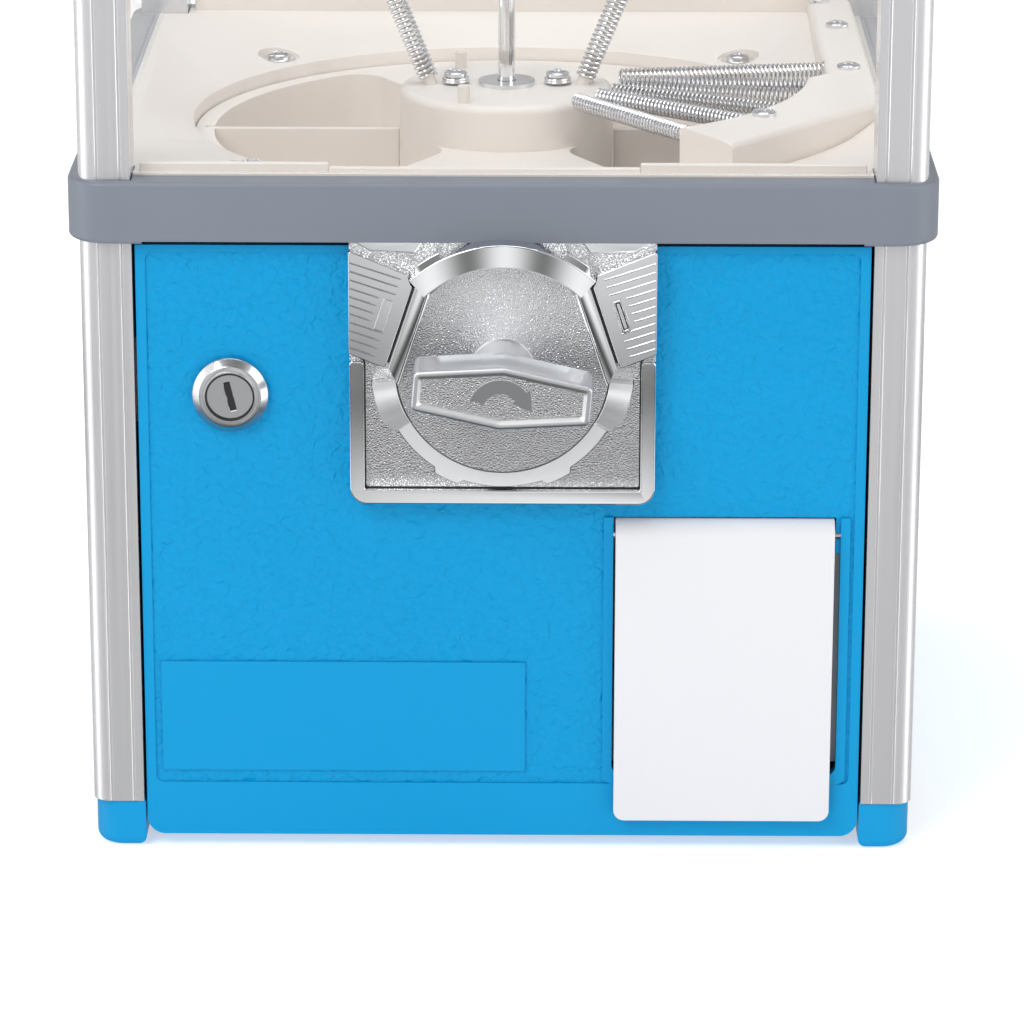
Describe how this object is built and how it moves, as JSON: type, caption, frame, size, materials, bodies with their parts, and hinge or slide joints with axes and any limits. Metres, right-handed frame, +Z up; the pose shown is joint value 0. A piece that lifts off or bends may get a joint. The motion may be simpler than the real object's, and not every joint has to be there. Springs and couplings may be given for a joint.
{
  "type": "gumball machine",
  "caption": "Square coin-operated gumball vending machine with clear windows, a sprung brush over a turning pocket wheel, a cranked coin mechanism, an outlet flap and a locking lid.",
  "frame": {"origin": "on the floor, on the centre line of the tie rod", "axes": "+Z up, +Y to the back, +X to the right seen from the front"},
  "size_m": [0.235, 0.2625, 0.64],
  "materials": {
    "post_aluminium": "satin drawn",
    "blue_plastic": "gloss",
    "blue_paint": "textured powder coat",
    "grey_plastic": "satin",
    "cream_plastic": "satin",
    "clear_window": "clear sheet",
    "bright_steel": "bright",
    "chrome": "polished plating",
    "die_casting": "as cast",
    "white_plastic": "translucent white",
    "nylon": "moulded",
    "dark_plastic": "moulded",
    "grey_chute": "moulded"
  },
  "bodies": {
    "cabinet": {"front_left_post": "post_aluminium", "front_right_post": "post_aluminium", "rear_left_post": "post_aluminium", "rear_right_post": "post_aluminium", "front_left_foot": "blue_plastic", "front_right_foot": "blue_plastic", "rear_left_foot": "blue_plastic", "rear_right_foot": "blue_plastic", "base_plate": "dark_plastic", "left_side_panel": "blue_paint", "right_side_panel": "blue_paint", "rear_panel": "blue_paint", "belt_frame": "grey_plastic", "hopper_bowl": "cream_plastic", "front_window": "clear_window", "rear_window": "clear_window", "left_window": "clear_window", "right_window": "clear_window", "top_frame": "grey_plastic", "post_screws": "bright_steel", "centre_rod": "bright_steel", "rod_nuts": "bright_steel", "spring_housing": "cream_plastic", "brush_springs": "bright_steel", "housing_screws": "bright_steel", "bowl_screws": "bright_steel", "outlet_chute": "grey_chute", "coin_tray": "dark_plastic", "lock_catch": "bright_steel"},
    "front_panel": {"front_panel": "blue_paint", "mech_faceplate": "chrome", "mech_housing": "die_casting", "mech_screws": "bright_steel", "lock_barrel": "chrome", "lock_nut": "chrome", "flap_hinge_pin": "bright_steel", "pawl_pin": "bright_steel"},
    "handle": {"handle": "chrome", "carrier_disc": "chrome", "drive_shaft": "bright_steel", "ratchet_wheel": "bright_steel", "drive_pinion": "nylon", "shaft_clip": "bright_steel"},
    "wheel": {"gumball_wheel": "cream_plastic", "left_partition": "cream_plastic", "right_partition": "cream_plastic", "left_agitator_spring": "bright_steel", "right_agitator_spring": "bright_steel", "agitator_screws": "bright_steel", "crown_gear": "nylon", "crown_screws": "bright_steel", "wheel_washer": "bright_steel"},
    "flap": {"flap": "white_plastic"},
    "lock": {"lock_plug": "chrome", "lock_cam": "bright_steel", "cam_screw": "bright_steel"},
    "lid": {"lid": "blue_plastic", "lid_lock_barrel": "chrome"},
    "lid_lock": {"lid_lock_plug": "chrome"},
    "pawl": {"coin_pawl": "bright_steel"}
  },
  "joints": [
    {"name": "panel_slide", "type": "slide", "parent": "cabinet", "child": "front_panel", "axis": [0, -1, 0], "range_m": [0, 0.15]},
    {"name": "handle_turn", "type": "hinge", "parent": "front_panel", "child": "handle", "pos_m": [0, -0.12, 0.1402], "axis": [0, 1, 0], "continuous": true},
    {"name": "wheel_turn", "type": "hinge", "parent": "cabinet", "child": "wheel", "pos_m": [0, 0, 0.16], "axis": [0, 0, 1], "continuous": true},
    {"name": "flap_swing", "type": "hinge", "parent": "front_panel", "child": "flap", "pos_m": [0.061, -0.112, 0.092], "axis": [-1, 0, 0], "range_deg": [0, 80]},
    {"name": "panel_lock_turn", "type": "hinge", "parent": "front_panel", "child": "lock", "pos_m": [-0.074, -0.1135, 0.1323], "axis": [0, 1, 0], "range_deg": [0, 90]},
    {"name": "lid_lift", "type": "slide", "parent": "cabinet", "child": "lid", "axis": [0, 0, 1], "range_m": [0, 0.12]},
    {"name": "lid_lock_turn", "type": "hinge", "parent": "lid", "child": "lid_lock", "pos_m": [0, 0, 0.63], "axis": [0, 0, 1], "range_deg": [0, 90]},
    {"name": "pawl_swing", "type": "hinge", "parent": "front_panel", "child": "pawl", "pos_m": [-0.023, -0.11, 0.1282], "axis": [0, -1, 0], "range_deg": [0, 15], "stiffness_Nm_per_rad": 0.005, "springref_deg": -5.73}
  ],
  "couplings": [
    {"joint": "handle_turn", "follows": "wheel_turn", "ratio": 2}
  ]
}
